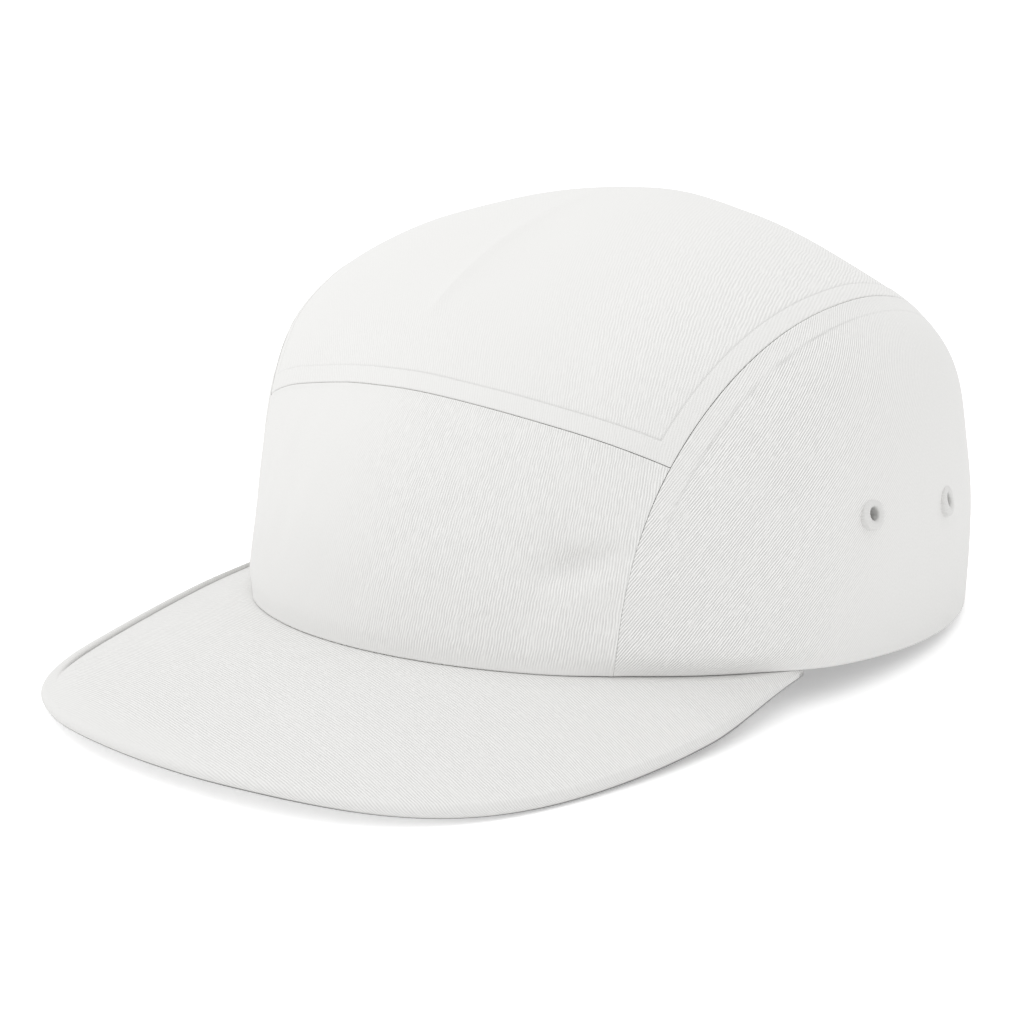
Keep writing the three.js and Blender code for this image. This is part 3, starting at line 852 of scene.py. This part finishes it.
def build_peak(crown, sizes, material):
    """The peak: rows from side to side, each a closed section under the rim and round the edge"""
    peak = Peak(crown, sizes)
    rows = peak.ROWS
    share = np.linspace(-peak.END_SHARE, peak.END_SHARE, rows + 1)
    fades = {name: smooth_step(*ends, share) for name, ends in PEAK_FADES.items()}
    humps = {name: hump(*ends, share) for name, ends in PEAK_HUMPS.items()}
    end = smooth_step(peak.END_START, 1, np.abs(share))
    half = peak.half + (sizes.end_thickness / 2 - peak.half) * end
    foot = crown.rim(sizes.corner_turn * share) - [0, crown.middle, 0]
    outward = foot[:, :2] / [crown.sizes.head_width**2, crown.sizes.head_length**2]
    outward /= np.linalg.norm(outward, axis=-1, keepdims=True)
    tuck = (sizes.end_tuck * end)[:, None]
    seam = foot[:, :2] - outward * tuck
    inner = foot[:, :2] - outward * sizes.tuck
    swell = sizes.far_bulge * humps["bulge"] - sizes.near_trim * humps["trim"]
    outline = peak.outline(share) + outward * swell[:, None]
    edge_height = peak.edge_height(outline, peak.slope) + peak.half - half - sizes.tip_dip * humps["dip"]
    edge = outline - outward * tuck
    seam_height = foot[:, 2] - half - sizes.seam_clearance
    length = np.linalg.norm(edge - seam, axis=-1)
    near_edge = np.array(PEAK_ROWS) * MM
    inside = np.maximum(length - near_edge[0], 0)[:, None] * np.linspace(0, 1, peak.CELLS + 1)[:-1]
    run = np.concatenate([inside, np.maximum(length[:, None] - near_edge, inside[:, -1:])], axis=1)
    run = run / length[:, None]
    flat = seam[:, None] + (edge - seam)[:, None] * run[..., None]
    flat = np.concatenate([inner[:, None], flat], axis=1)
    height = seam_height[:, None] + (edge_height - seam_height)[:, None] * run
    height = np.concatenate([seam_height[:, None], height], axis=1)
    from_edge = np.concatenate([length[:, None], length[:, None] * (1 - run)], axis=1)
    from_seam = length[:, None] - from_edge
    from_lip = from_edge - sizes.lip_width

    grooved = (fades["groove"] * fades["tail"])[:, None]
    lift = (sizes.far_rise * fades["board"] * fades["tail"])[:, None]
    board = lift * hump(0, sizes.far_blend, from_edge) * smooth_step(0, sizes.seam_blend, from_seam)
    lip = (sizes.lip_rise * fades["lip"] * fades["tail"])[:, None]
    roll = np.sqrt(np.maximum(0, 1 - (from_edge / sizes.lip_width) ** 2))
    groove = grooved * hump(sizes.groove_reach, sizes.groove_reach, from_lip)
    top = height + half[:, None] + board + lip * roll - sizes.groove_depth * groove
    bottom = height - half[:, None] + board

    angles = np.linspace(math.pi / 2, -math.pi / 2, peak.ROUNDS + 1)[1:-1]
    out = edge - seam
    out /= np.maximum(np.linalg.norm(out, axis=-1, keepdims=True), TINY)
    level = (top[:, -1:] + bottom[:, -1:]) / 2
    upright = level + (top[:, -1:] - bottom[:, -1:]) / 2 * np.sin(angles)
    rounded = edge[:, None] + out[:, None] * (half[:, None] * np.cos(angles))[..., None]
    unrolled = edge[:, None] + out[:, None] * (half[:, None] * (math.pi / 2 - angles))[..., None]
    rings = np.concatenate(
        [
            np.concatenate([flat, rounded, flat[:, ::-1]], axis=1),
            np.concatenate([top, upright, bottom[:, ::-1]], axis=1)[..., None],
        ],
        axis=-1,
    )
    uv = np.concatenate([flat, unrolled, flat[:, ::-1]], axis=1).reshape(-1, 2)

    # Painted shade: darker colour in the far groove, and along the downward side of the rounded edge
    shade = grooved * hump(peak.PAINTED_SHADE_PLACE, peak.PAINTED_SHADE_REACH, from_lip)
    shift = peak.PAINTED_FOOT_SHIFT * fades["painted_foot_shade"][:, None]
    painted_foot_shade = smooth_step(*peak.PAINTED_FOOT_DEGREES, np.degrees(angles) - shift)
    far = fades["calm"][:, None]
    calm = peak.CALM * far * smooth_step(*peak.CALM_REACH, from_edge)
    edge_calm = np.tile(peak.EDGE_CALM + (1 - peak.EDGE_CALM) * far, len(angles))
    below = np.zeros(flat.shape[:2])
    masks = {
        "Calm": np.concatenate([calm, edge_calm, below], axis=1).ravel(),
        "Painted_shade": np.concatenate([shade, painted_foot_shade, below], axis=1).ravel(),
    }

    count = rings.shape[1]
    i, k = np.meshgrid(np.arange(rows), np.arange(count), indexing="ij")
    a, b = i * count + k, i * count + (k + 1) % count
    faces = np.stack([a, a + count, b + count, b], -1).reshape(-1, 4).tolist()
    faces.append(list(range(count)))
    faces.append([rows * count + k for k in reversed(range(count))])
    vertices = (rings + [0, crown.middle, 0]).reshape(-1, 3)
    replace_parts(mesh_object("Peak", vertices, faces, uv, material, masks), "peak")


class Nodes:
    """Makes nodes in a tree, with inputs that are set to a value or linked to a socket"""

    def __init__(self, tree):
        self.tree = tree

    def new(self, kind, inputs=None, **settings):
        node = self.tree.nodes.new(kind if kind.startswith("NodeGroup") else f"ShaderNode{kind}")
        for key, value in settings.items():
            setattr(node, key, value)
        for key, value in (inputs or {}).items():
            self.feed(node.inputs[key], value)
        return node

    def feed(self, socket, value):
        if isinstance(value, bpy.types.NodeSocket):
            self.tree.links.new(value, socket)
        else:
            socket.default_value = value

    def maths(self, operation, *values, clamp=False):
        node = self.new("Math", dict(enumerate(values)), operation=operation, use_clamp=clamp)
        return node.outputs[0]

    def noise(self, name, vector):
        """Noise round 0, from the twill's table"""
        scale, detail = TWILL_NOISE[name]
        node = self.new("TexNoise", {"Vector": vector, "Scale": scale, "Detail": detail})
        return self.maths("SUBTRACT", node.outputs["Fac"], 0.5)

    def mix(self, factor, first, second):
        """A blend of two colours"""
        node = self.new("Mix", {"Factor": factor, "A": first, "B": second}, data_type="RGBA")
        return node.outputs["Result"]

    def attribute(self, name):
        return self.new("Attribute", attribute_name=name).outputs["Fac"]


def twill_group():
    """Shader node group: diagonal ribs of a twill weave, broken into strokes and smooth patches"""
    group = bpy.data.node_groups.new("Twill", "ShaderNodeTree")
    face = group.interface
    face.new_socket(name="Cloth", in_out="INPUT", socket_type="NodeSocketVector")
    for name in ("Pitch", "Slant", "Unevenness", "Strokes", "Calm"):
        face.new_socket(name=name, in_out="INPUT", socket_type="NodeSocketFloat")
    face.new_socket(name="Height", in_out="OUTPUT", socket_type="NodeSocketFloat")
    nodes = Nodes(group)
    maths, noise, form = nodes.maths, nodes.noise, TWILL_FORM
    source = nodes.new("NodeGroupInput").outputs
    cloth, pitch, slant, strokes = source["Cloth"], source["Pitch"], source["Slant"], source["Strokes"]
    split = nodes.new("SeparateXYZ", {0: cloth})
    x, y = split.outputs["X"], split.outputs["Y"]
    cosine, sine = maths("COSINE", slant), maths("SINE", slant)
    off = maths("SUBTRACT", maths("MULTIPLY", y, cosine), maths("MULTIPLY", x, sine))
    run = maths("ADD", maths("MULTIPLY", x, cosine), maths("MULTIPLY", y, sine))
    wander = maths("MULTIPLY", noise("wander", cloth), source["Unevenness"])
    ribs = maths("ADD", maths("DIVIDE", off, pitch), wander)
    wave = maths("SINE", maths("MULTIPLY", ribs, 2 * math.pi))
    stroke_x = maths("MULTIPLY", maths("DIVIDE", run, pitch), form["strokes_along"])
    stroke_y = maths("MULTIPLY", ribs, form["strokes_across"])
    lengthwise = nodes.new("CombineXYZ", {0: stroke_x, 1: stroke_y}).outputs[0]
    stroke = maths("MULTIPLY", noise("stroke", lengthwise), form["stroke_height"])
    gaps = maths("MULTIPLY_ADD", noise("gap", lengthwise), *form["gaps"], clamp=True)
    rib = maths("MULTIPLY", maths("MULTIPLY", wave, form["rib_height"]), gaps)
    rest = maths("SUBTRACT", 1.0, strokes)
    pattern = maths("ADD", maths("MULTIPLY", rib, rest), maths("MULTIPLY", stroke, strokes))
    pattern = maths("MAXIMUM", maths("MINIMUM", pattern, 1.0), -1.0)
    patches = maths("MULTIPLY_ADD", noise("patch", cloth), *form["patches"], clamp=True)
    patches = maths("MULTIPLY_ADD", patches, form["patch_share"], 1 - form["patch_share"])
    clear = maths("SUBTRACT", 1.0, source["Calm"])
    pattern = maths("MULTIPLY", maths("MULTIPLY", pattern, patches), clear)
    grain = maths("MULTIPLY", noise("grain", cloth), form["grain_height"])
    height = maths("ADD", maths("MULTIPLY_ADD", pattern, 0.5, 0.5), grain, clamp=True)
    nodes.new("NodeGroupOutput", {"Height": height})
    return group


def node_material(name, inputs):
    """A material with one shader, whose inputs are set from a table"""
    material = bpy.data.materials.new(name)
    material.use_nodes = True
    material.node_tree.nodes.clear()
    nodes = Nodes(material.node_tree)
    shader = nodes.new("BsdfPrincipled", inputs)
    nodes.new("OutputMaterial", {"Surface": shader.outputs[0]})
    return material, nodes, shader


def tinted(colour, share):
    """A colour made lighter or darker, as a node takes it"""
    return (*[min(BRIGHTEST, channel * share) for channel in colour], 1)


def twill_material(name, colour, kind, look):
    """Matt cotton twill: its weave on the cloth map, smoother over turned allowances, darker where shade is
    painted into grooves and edges
    """
    row = dict(zip(WEAVE_COLUMNS, WEAVES[kind]))
    material, nodes, shader = node_material(name, TWILL_SHADER)
    inputs = {
        "Cloth": nodes.new("UVMap", uv_map="Cloth").outputs["UV"],
        "Calm": nodes.attribute("Calm"),
        "Pitch": row["pitch"] * MM,
        "Slant": math.radians(row["slant"]),
        "Unevenness": row["wander"],
        "Strokes": row["strokes"],
    }
    group = bpy.data.node_groups.get("Twill") or twill_group()
    height = nodes.new("Group", inputs, node_tree=group).outputs["Height"]
    depth = look.rib_depth * row["depth"]
    bump = nodes.new("Bump", {"Strength": 1.0, "Distance": depth, "Height": height})
    nodes.feed(shader.inputs["Normal"], bump.outputs["Normal"])
    ribs = nodes.mix(height, tinted(colour, 1 - row["contrast"]), tinted(colour, 1 + row["contrast"]))
    # Painted shade: the colour darkens where the mask marks grooves and the foot of the peak's edge
    with_painted_shade = nodes.mix(nodes.attribute("Painted_shade"), ribs, tinted(colour, row["step"]))
    nodes.feed(shader.inputs["Base Color"], with_painted_shade)
    return material


def thread_material(name, colour, look):
    """Close-sewn thread"""
    material, nodes, shader = node_material(name, THREAD_SHADER)
    place = nodes.new("TexCoord").outputs["Object"]
    noise = nodes.new("TexNoise", {"Vector": place, "Scale": THREAD_SCALE}).outputs["Fac"]
    bump = nodes.new("Bump", {"Distance": look.thread_depth, "Height": noise})
    nodes.feed(shader.inputs["Normal"], bump.outputs["Normal"])
    nodes.feed(shader.inputs["Base Color"], nodes.mix(noise, tinted(colour, THREAD_DARK), tinted(colour, 1)))
    return material


def build_eyelet(crown, sizes, side_name, side, row, material):
    """A sewn ring: a rounded collar with thread ridges, standing through the cloth"""
    place = np.array([side * row["across"], row["along"]])
    normal = crown.normal(place)
    centre = crown.at(place) + normal * crown.rise(place)
    backward = np.cross([0, 0, side], normal)
    upward = np.array([0, 0, 1.0]) - normal * normal[2]
    normal = normal + backward / np.linalg.norm(backward) * math.tan(sizes.tilt)
    normal = normal + upward * math.tan(sizes.lift)
    normal /= np.linalg.norm(normal)
    hole, ring = sizes.hole / 2, sizes.flange / 2
    middle, half = (hole + ring) / 2, (ring - hole) / 2
    ridges = EYELET_GRID["per_stitch"] * sizes.stitches
    profile = []
    for start, foot in ((0, 0), (math.pi, -crown.sizes.wall)):
        for angle in start + np.linspace(0, math.pi, EYELET_GRID["steps"] + 1):
            bulge = sizes.height * signed_power(math.sin(angle), EYELET_GRID["bulge_power"])
            profile.append((middle + half * math.cos(angle), foot + bulge))
    profile = np.array(profile)
    turns = np.linspace(0, 2 * math.pi, ridges, endpoint=False)
    ridge = sizes.ridge * np.cos(turns * sizes.stitches)[:, None]
    across = np.cross(normal, [0, 0, 1.0])
    across /= np.linalg.norm(across)
    up = np.cross(across, normal)
    radius = middle + (profile[None, :, 0] - middle) * (1 + ridge / half)
    height = profile[None, :, 1] * (1 + ridge / sizes.height)
    flat = np.cos(turns)[:, None, None] * across + np.sin(turns)[:, None, None] * up
    points = centre + radius[..., None] * flat + height[..., None] * normal
    count = points.shape[1]
    i, k = np.meshgrid(np.arange(ridges), np.arange(count), indexing="ij")
    j, m = (i + 1) % ridges, (k + 1) % count
    faces = np.stack([i * count + k, i * count + m, j * count + m, j * count + k], -1).reshape(-1, 4)
    vertices = points.reshape(-1, 3)
    uv = np.stack([np.repeat(turns * ring, count), np.tile(profile[:, 0], ridges)], -1)
    node = f"eyelet_{side_name}_{row['name']}"
    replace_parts(mesh_object(node.capitalize(), vertices, faces, uv, material), node)


def pierce(panel, crown, side, sizes):
    """Cuts the two eyelet holes through a side panel"""
    cutters = []
    for row in EYELETS:
        place = np.array([side * row["across"], row["along"]])
        normal, centre = Vector(crown.normal(place)), Vector(crown.at(place))
        radius = sizes.hole / 2 + sizes.clearance
        bpy.ops.mesh.primitive_cylinder_add(vertices=CUTTER_SIDES, radius=radius, depth=CUTTER_LENGTH)
        cutter = bpy.context.object
        turn = normal.to_track_quat("Z", "Y").to_matrix().to_4x4()
        cutter.matrix_world = Matrix.Translation(centre) @ turn
        cut = panel.modifiers.new("Eyelet hole", "BOOLEAN")
        cut.operation = "DIFFERENCE"
        cut.solver = "EXACT"
        cut.object = cutter
        cutters.append(cutter)
    bpy.context.view_layer.update()
    evaluated = panel.evaluated_get(bpy.context.evaluated_depsgraph_get())
    mesh = bpy.data.meshes.new_from_object(evaluated)
    panel.modifiers.clear()
    panel.data = mesh
    for cutter in cutters:
        bpy.data.objects.remove(cutter)


class CAP_OT_end_panels(bpy.types.Operator):
    """Builds the front and the back panel"""

    bl_idname = "cap.end_panels"
    bl_label = "Front and back panels"

    def execute(self, context):
        crown, look = Crown(context.scene), context.scene.cap_cloth
        material = twill_material("Front twill", look.panel_colour, "end", look)
        for end, name in ((-1, "Front_panel"), (1, "Back_panel")):
            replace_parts(build_end_panel(crown, end, name, material), name.lower())
        return {"FINISHED"}


class CAP_OT_top_panel(bpy.types.Operator):
    """Builds the long panel over the crown"""

    bl_idname = "cap.top_panel"
    bl_label = "Top panel"

    def execute(self, context):
        crown, look = Crown(context.scene), context.scene.cap_cloth
        material = twill_material("Top twill", look.panel_colour, "top", look)
        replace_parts(build_top_panel(crown, material), "top_panel")
        return {"FINISHED"}


class CAP_OT_side_panels(bpy.types.Operator):
    """Builds both side panels with their eyelet holes"""

    bl_idname = "cap.side_panels"
    bl_label = "Side panels"

    def execute(self, context):
        crown, look = Crown(context.scene), context.scene.cap_cloth
        for side, side_name in ((1, "left"), (-1, "right")):
            name = f"Side_panel_{side_name}"
            material = twill_material(f"{name} twill", look.panel_colour, side_name, look)
            piece = build_side_panel(crown, side, name, material)
            pierce(piece, crown, side, context.scene.cap_eyelets)
            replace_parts(piece, name.lower())
        return {"FINISHED"}


class CAP_OT_peak(bpy.types.Operator):
    """Builds the peak"""

    bl_idname = "cap.peak"
    bl_label = "Peak"

    def execute(self, context):
        scene, look = context.scene, context.scene.cap_cloth
        material = twill_material("Peak twill", look.peak_shaded_colour, "peak", look)
        build_peak(Crown(scene), scene.cap_peak, material)
        return {"FINISHED"}


class CAP_OT_eyelets(bpy.types.Operator):
    """Builds the four sewn vent rings"""

    bl_idname = "cap.eyelets"
    bl_label = "Eyelets"

    def execute(self, context):
        scene, crown = context.scene, Crown(context.scene)
        material = thread_material("Eyelet thread", scene.cap_cloth.thread_colour, scene.cap_cloth)
        for side_name, side in (("left", 1), ("right", -1)):
            for row in EYELETS:
                build_eyelet(crown, scene.cap_eyelets, side_name, side, row, material)
        return {"FINISHED"}


def area_light(name, place, target, size, power):
    """A soft square light aimed at a point"""
    data = bpy.data.lights.new(name, "AREA")
    data.shape = "SQUARE"
    data.size = size
    data.energy = power
    light = bpy.data.objects.new(name, data)
    light.location = place
    light.rotation_euler = (Vector(target) - Vector(place)).to_track_quat("-Z", "Y").to_euler()
    bpy.context.scene.collection.objects.link(light)


class CAP_OT_stage(bpy.types.Operator):
    """Sets the floor, the light and the camera"""

    bl_idname = "cap.stage"
    bl_label = "Stage"

    def execute(self, context):
        scene = context.scene
        look = scene.cap_stage
        mesh = bpy.data.meshes.new("Floor")
        half = look.floor_half
        corners = [(-half, -half, 0), (half, -half, 0), (half, half, 0), (-half, half, 0)]
        mesh.from_pydata(corners, [], [(0, 1, 2, 3)])
        material, nodes, shader = node_material("Floor", FLOOR_SHADER)
        nodes.feed(shader.inputs["Base Color"], (*look.floor_colour, 1))
        split = nodes.new("SeparateXYZ", {0: nodes.new("TexCoord").outputs["Object"]})
        shares = {}
        for axis, (start, stop) in FILL_RANGES.items():
            inputs = {"Value": split.outputs[axis], "From Min": start, "From Max": stop}
            shares[axis] = nodes.new("MapRange", inputs, interpolation_type="SMOOTHSTEP").outputs[0]
        # Painted light: glow seen only by the camera lifts the floor's shadows, most in front of the peak and
        # behind it
        front = nodes.maths("MULTIPLY", shares["X"], look.front_fill)
        both = nodes.new("Mix", {"Factor": shares["Y"], "A": front, "B": look.back_fill}).outputs[0]
        opened = nodes.maths("ADD", both, look.shadow_fill)
        seen = nodes.new("LightPath").outputs["Is Camera Ray"]
        glow = nodes.maths("MULTIPLY_ADD", opened, seen, look.floor_glow)
        nodes.feed(shader.inputs["Emission Strength"], glow)
        mesh.materials.append(material)
        floor = bpy.data.objects.new("Floor", mesh)
        scene.collection.objects.link(floor)

        world = scene.world or bpy.data.worlds.new("World")
        scene.world = world
        world.use_nodes = True
        sky = world.node_tree.nodes["Background"]
        sky.inputs["Color"].default_value = (1, 1, 1, 1)
        sky.inputs["Strength"].default_value = look.sky_strength
        area_light("Key", KEY_PLACE, KEY_TARGET, look.key_size, look.key_power)

        middle = Crown(scene).middle
        azimuth, elevation = look.azimuth, look.elevation
        level = Vector((math.cos(azimuth), math.sin(azimuth), 0))
        ahead = Vector((math.sin(azimuth), -math.cos(azimuth), 0))
        back = ahead * math.cos(elevation) + Vector((0, 0, math.sin(elevation)))
        upright = back.cross(level)
        target = Vector((0, middle - look.aim_ahead, look.aim_height))
        target = target - level * look.aim_left - upright * look.aim_down
        right = level * math.cos(look.roll) + upright * math.sin(look.roll)
        up = back.cross(right)
        data = bpy.data.cameras.new("Camera")
        data.lens = look.lens
        data.sensor_width = SENSOR_WIDTH
        camera = bpy.data.objects.new("Camera", data)
        turn = Matrix((right, up, back)).transposed().to_4x4()
        camera.matrix_world = Matrix.Translation(target + back * look.distance) @ turn
        scene.collection.objects.link(camera)
        scene.camera = camera
        scene.view_settings.view_transform = "Standard"
        return {"FINISHED"}


class CAP_PT_parts(bpy.types.Panel):
    """Lists the cap's pieces"""

    bl_label = "Five Panel Cap"
    bl_idname = "CAP_PT_parts"
    bl_space_type = "VIEW_3D"
    bl_region_type = "UI"
    bl_category = "Cap"

    def draw(self, context):
        for operator in OPERATORS:
            self.layout.operator(operator.bl_idname)


GROUPS = {
    "cap_crown": CrownSizes,
    "cap_peak": PeakSizes,
    "cap_eyelets": EyeletSizes,
    "cap_cloth": ClothLook,
    "cap_stage": StageLook,
}

OPERATORS = (
    CAP_OT_end_panels,
    CAP_OT_top_panel,
    CAP_OT_side_panels,
    CAP_OT_peak,
    CAP_OT_eyelets,
    CAP_OT_stage,
)


def register():
    for name, group in GROUPS.items():
        bpy.utils.register_class(group)
        setattr(bpy.types.Scene, name, PointerProperty(type=group))
    for operator in OPERATORS:
        bpy.utils.register_class(operator)
    bpy.utils.register_class(CAP_PT_parts)


def unregister():
    bpy.utils.unregister_class(CAP_PT_parts)
    for operator in reversed(OPERATORS):
        bpy.utils.unregister_class(operator)
    for name, group in GROUPS.items():
        delattr(bpy.types.Scene, name)
        bpy.utils.unregister_class(group)


def main():
    register()
    bpy.ops.cap.end_panels()
    bpy.ops.cap.top_panel()
    bpy.ops.cap.side_panels()
    bpy.ops.cap.peak()
    bpy.ops.cap.eyelets()
    bpy.ops.cap.stage()


if __name__ == "__main__":
    main()
